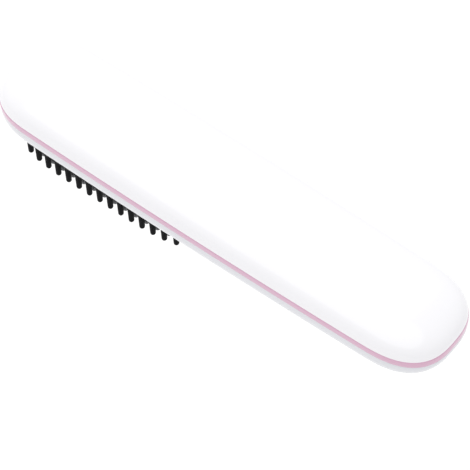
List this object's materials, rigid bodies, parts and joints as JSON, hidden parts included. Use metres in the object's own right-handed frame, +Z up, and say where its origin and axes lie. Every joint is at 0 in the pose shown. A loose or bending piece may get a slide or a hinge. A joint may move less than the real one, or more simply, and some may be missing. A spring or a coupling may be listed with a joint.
{
  "type": "hair straightening brush",
  "caption": "Cordless hair straightening brush: slim glossy white bar with a pink trim band, a heated comb of short teeth under one half and a plain rounded handle.",
  "frame": {"origin": "on the plane of the tooth tips, under the middle of the body", "axes": "+X along the body towards the handle's end, +Z up from the tooth tips through the plain back, +Y across"},
  "size_m": [0.2002, 0.043, 0.0358],
  "materials": {
    "shell_white": "glossy moulded",
    "trim_pink": "glossy moulded",
    "comb_black": "satin moulded",
    "comb_grey": "ceramic coated",
    "ceramic_ivory": "fired",
    "mica_tan": "split sheet",
    "fibre_white": "needled felt",
    "clamp_steel": "satin",
    "shield_aluminium": "mill finish",
    "screw_steel": "nickel plated",
    "fuse_brass": "bright",
    "bead_glass": "clear brown",
    "lead_red": "silicone",
    "lead_white": "silicone",
    "board_green": "solder mask",
    "switch_black": "satin moulded",
    "plunger_tan": "satin moulded",
    "lens_smoke": "polished, smoked",
    "display_grey": "satin",
    "chip_black": "satin",
    "ferrite_grey": "sintered",
    "can_aluminium": "bright",
    "socket_steel": "satin",
    "connector_ivory": "satin moulded",
    "cell_foil": "satin foil",
    "tab_nickel": "plated",
    "guard_board_green": "solder mask",
    "tray_grey": "satin moulded",
    "foam_grey": "foamed"
  },
  "bodies": {
    "root": {"back_shell": "shell_white", "front_shell": "shell_white", "trim_band": "trim_pink", "comb_frame": "comb_black", "heater_comb": "comb_grey", "ceramic_heaters": "ceramic_ivory", "mica_sheet": "mica_tan", "fibre_pad": "fibre_white", "clamp_plate": "clamp_steel", "heat_shield": "shield_aluminium", "clamp_screws": "screw_steel", "frame_screws": "screw_steel", "thermal_fuse": "fuse_brass", "thermistor": "bead_glass", "heater_leads": "lead_red", "sensor_leads": "lead_white", "main_board": "board_green", "board_screws": "screw_steel", "switch_bodies": "switch_black", "display_lens": "lens_smoke", "display_module": "display_grey", "control_chips": "chip_black", "power_inductor": "ferrite_grey", "smoothing_capacitor": "can_aluminium", "usb_shell": "socket_steel", "usb_tongue": "switch_black", "battery_connector": "connector_ivory", "battery_cells": "cell_foil", "cell_tabs": "tab_nickel", "protection_board": "guard_board_green", "battery_leads": "lead_red", "battery_tray": "tray_grey", "foam_pads": "foam_grey", "shell_screws": "screw_steel"},
    "power_button": {"power_button": "trim_pink", "power_plunger": "plunger_tan"},
    "warmer_button": {"warmer_button": "shell_white", "warmer_plunger": "plunger_tan"},
    "cooler_button": {"cooler_button": "shell_white", "cooler_plunger": "plunger_tan"}
  },
  "joints": [
    {"name": "power_press", "type": "slide", "parent": "root", "child": "power_button", "axis": [0, 0, 1], "range_m": [0, 0.0004], "stiffness_N_per_m": 2500, "springref_m": -0.0002},
    {"name": "warmer_press", "type": "slide", "parent": "root", "child": "warmer_button", "axis": [0, 0, 1], "range_m": [0, 0.0004], "stiffness_N_per_m": 2500, "springref_m": -0.0002},
    {"name": "cooler_press", "type": "slide", "parent": "root", "child": "cooler_button", "axis": [0, 0, 1], "range_m": [0, 0.0004], "stiffness_N_per_m": 2500, "springref_m": -0.0002}
  ]
}
